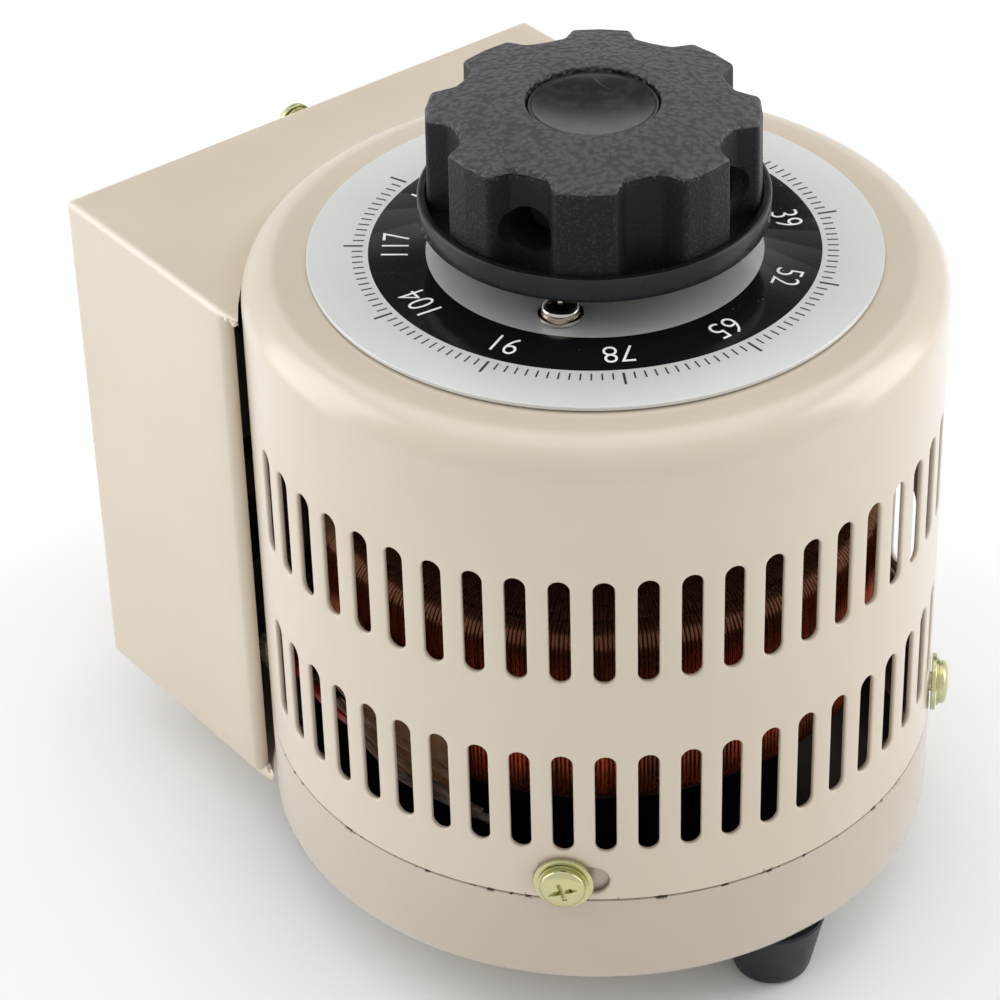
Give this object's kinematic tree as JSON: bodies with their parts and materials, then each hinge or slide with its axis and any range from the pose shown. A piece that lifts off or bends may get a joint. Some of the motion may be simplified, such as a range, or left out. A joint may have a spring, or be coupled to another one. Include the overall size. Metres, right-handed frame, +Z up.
{
  "type": "variable autotransformer",
  "caption": "Panel-boxed variable autotransformer: vented drum with toroidal winding, dial and lobed knob, and a control box with voltmeter, switch, outlet and fuse.",
  "frame": {"origin": "centre of the bounding box in X and Y, on the plane the feet stand on", "axes": "+Z up along the knob's shaft; the control panel faces -Y, where the operator stands; +X to the operator's right"},
  "size_m": [0.131, 0.1762, 0.1678],
  "materials": {
    "cream_paint": "semi-gloss warm cream enamel",
    "black_rubber": "smooth dark moulded rubber",
    "yellow_zinc": "yellow-passivated zinc on steel",
    "nickel": "nickel-plated",
    "printed_aluminium": "satin sheet with a printed black ring",
    "plain_steel": "turned steel",
    "black_iron": "blackened steel",
    "phenolic": "brown laminated board",
    "copper": "enamelled copper wire, side by side",
    "cast_aluminium": "bead-blasted casting",
    "brass": "machined brass",
    "carbon": "graphite block",
    "black_knob": "grained black phenolic moulding",
    "gloss_black": "polished black moulding",
    "matt_black": "moulded black plastic",
    "white_dial": "printed white card",
    "clear_plastic": "clear moulding",
    "fuse_glass": "glass tube with metal caps",
    "red_plastic": "red moulding",
    "red_insulation": "red wire insulation",
    "brown_insulation": "brown wire insulation"
  },
  "bodies": {
    "frame": {"base_pan": "cream_paint", "top_cover": "cream_paint", "control_box": "cream_paint", "front_panel": "cream_paint", "foot_1": "black_rubber", "foot_2": "black_rubber", "foot_3": "black_rubber", "foot_screw_1": "yellow_zinc", "foot_screw_2": "yellow_zinc", "foot_screw_3": "yellow_zinc", "cover_screw_1": "yellow_zinc", "cover_screw_2": "yellow_zinc", "cover_screw_3": "yellow_zinc", "cover_screw_4": "yellow_zinc", "panel_screw_1": "yellow_zinc", "panel_screw_2": "yellow_zinc", "dial_screw_1": "nickel", "dial_screw_2": "nickel", "dial_screw_3": "nickel", "dial_plate": "printed_aluminium", "top_bearing": "plain_steel", "stop_post": "plain_steel", "bearing_hub": "plain_steel", "base_nut": "plain_steel", "hub_nut": "plain_steel", "coil_support": "black_iron", "toroid_core": "black_iron", "base_insulator": "phenolic", "core_insulator_lower": "phenolic", "core_insulator_upper": "phenolic", "clamp_disc": "phenolic", "lead_board": "phenolic", "terminal_board": "phenolic", "winding": "copper", "meter_mask": "gloss_black", "meter_case": "matt_black", "switch_body": "matt_black", "outlet": "matt_black", "fuse_holder": "matt_black", "cable_gland": "matt_black", "gland_nut": "matt_black", "meter_dial": "white_dial", "meter_window": "clear_plastic", "output_lead": "red_insulation", "supply_lead": "brown_insulation"},
    "rotor": {"shaft": "plain_steel", "shaft_collar": "brass", "knob": "black_knob", "knob_cap": "gloss_black", "set_screw_1": "plain_steel", "set_screw_2": "plain_steel", "brush_arm": "cast_aluminium", "brush_holder": "brass", "brush_spring": "plain_steel"},
    "brush": {"carbon_brush": "carbon"},
    "needle": {"meter_needle": "gloss_black"},
    "rocker": {"switch_rocker": "red_plastic"},
    "fuse_carrier": {"fuse_link": "fuse_glass"},
    "fuse_twist_cap": {"fuse_cap": "matt_black"},
    "adjuster": {"meter_adjuster": "matt_black"}
  },
  "joints": [
    {"name": "knob_turn", "type": "hinge", "parent": "frame", "child": "rotor", "pos_m": [0, 0.0226, 0.137], "axis": [0, 0, -1], "range_deg": [0, 325]},
    {"name": "brush_press", "type": "slide", "parent": "rotor", "child": "brush", "axis": [0, 0, 1], "range_m": [0, 0.002], "stiffness_N_per_m": 300, "springref_m": -0.005, "deforming": ["brush_spring"]},
    {"name": "needle_swing", "type": "hinge", "parent": "frame", "child": "needle", "pos_m": [0, -0.0775, 0.0775], "axis": [0, 1, 0], "range_deg": [0, 90]},
    {"name": "rocker_tip", "type": "hinge", "parent": "frame", "child": "rocker", "pos_m": [-0.036, -0.0711, 0.042], "axis": [-1, 0, 0], "range_deg": [0, 20]},
    {"name": "fuse_draw", "type": "slide", "parent": "frame", "child": "fuse_carrier", "axis": [0, -1, 0], "range_m": [0, 0.03]},
    {"name": "fuse_twist", "type": "hinge", "parent": "fuse_carrier", "child": "fuse_twist_cap", "pos_m": [0.036, -0.0751, 0.0505], "axis": [0, 1, 0], "range_deg": [0, 90]},
    {"name": "adjuster_turn", "type": "hinge", "parent": "frame", "child": "adjuster", "pos_m": [0, -0.0782, 0.0705], "axis": [0, 1, 0], "range_deg": [-30, 30]}
  ],
  "couplings": [
    {"joint": "needle_swing", "follows": "knob_turn", "ratio": 0.24}
  ]
}
